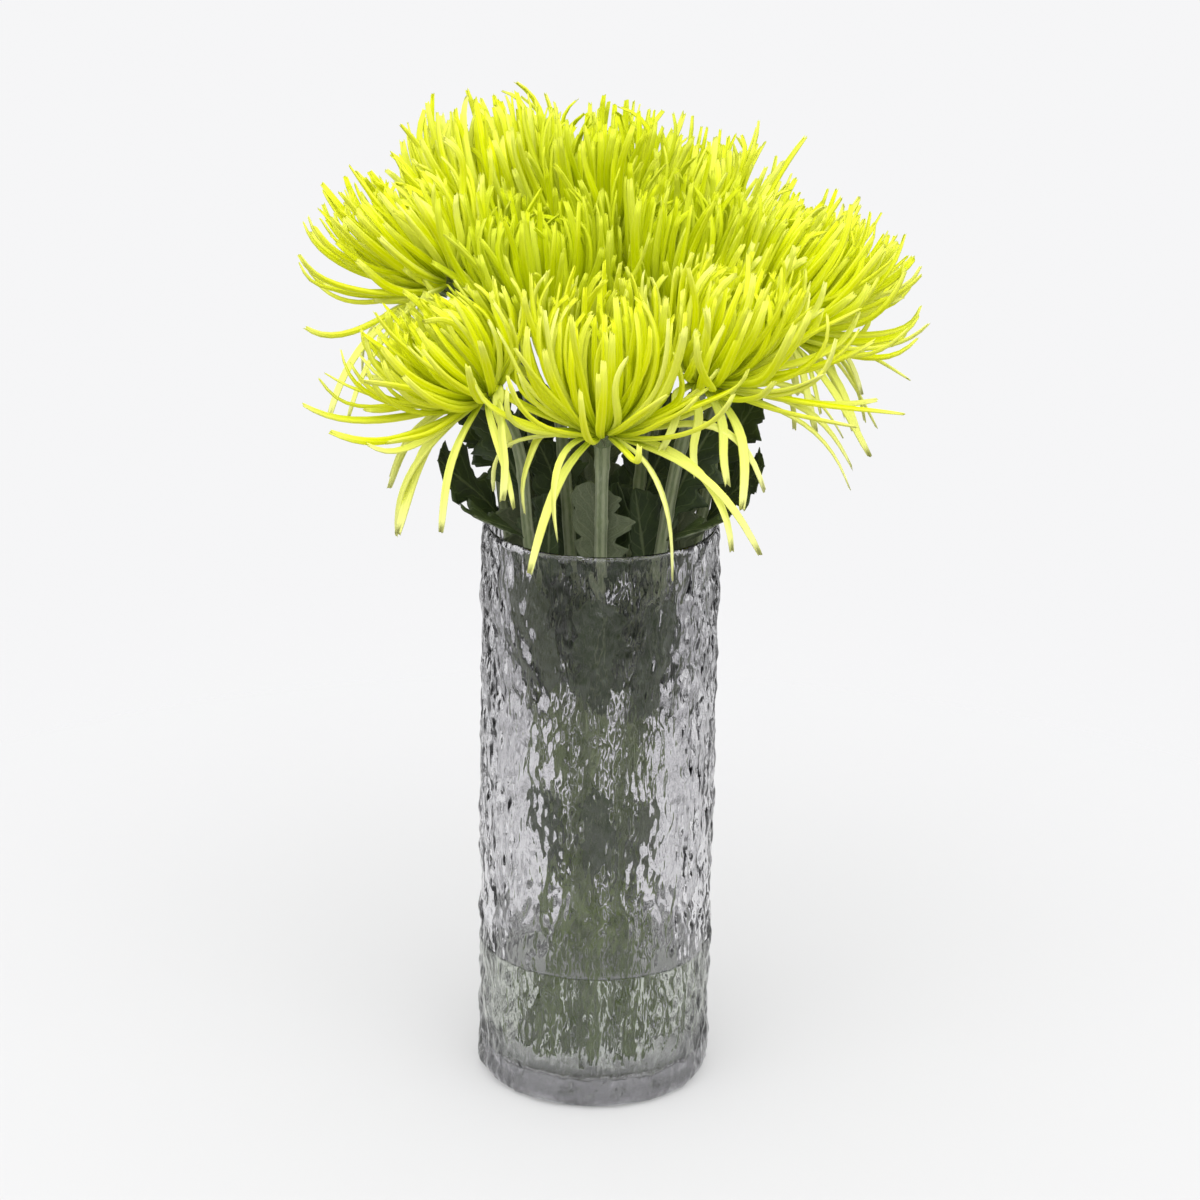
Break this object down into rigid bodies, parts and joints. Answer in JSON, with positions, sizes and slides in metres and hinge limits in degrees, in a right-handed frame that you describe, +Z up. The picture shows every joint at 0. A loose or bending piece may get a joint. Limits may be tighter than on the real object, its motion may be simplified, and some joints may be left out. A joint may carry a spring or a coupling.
{
  "type": "vase of cut spider chrysanthemums",
  "caption": "Leafy cut spider chrysanthemums with chartreuse quilled heads, standing in a tall smoke-grey bark-glass cylinder vase with some water.",
  "frame": {"origin": "middle of the vase's flat foot, on the surface that it stands on", "axes": "+Z up along the vase's axis; the side in the picture faces -Y; +X to the viewer's right"},
  "size_m": [0.3161, 0.3116, 0.5119],
  "materials": {
    "smoke_glass": "gloss",
    "clear_water": "gloss",
    "stem_green": "matte",
    "petal_green": "satin"
  },
  "bodies": {
    "root": {"vase": "smoke_glass", "water": "clear_water", "stem_01": "stem_green", "stem_02": "stem_green", "stem_03": "stem_green", "stem_04": "stem_green", "stem_05": "stem_green", "stem_06": "stem_green", "stem_07": "stem_green", "stem_08": "stem_green", "stem_09": "stem_green", "stem_10": "stem_green", "stem_11": "stem_green", "stem_12": "stem_green", "bloom_01": "petal_green", "bloom_02": "petal_green", "bloom_03": "petal_green", "bloom_04": "petal_green", "bloom_05": "petal_green", "bloom_06": "petal_green", "bloom_07": "petal_green", "bloom_08": "petal_green", "bloom_09": "petal_green", "bloom_10": "petal_green", "bloom_11": "petal_green", "bloom_12": "petal_green"}
  },
  "joints": []
}
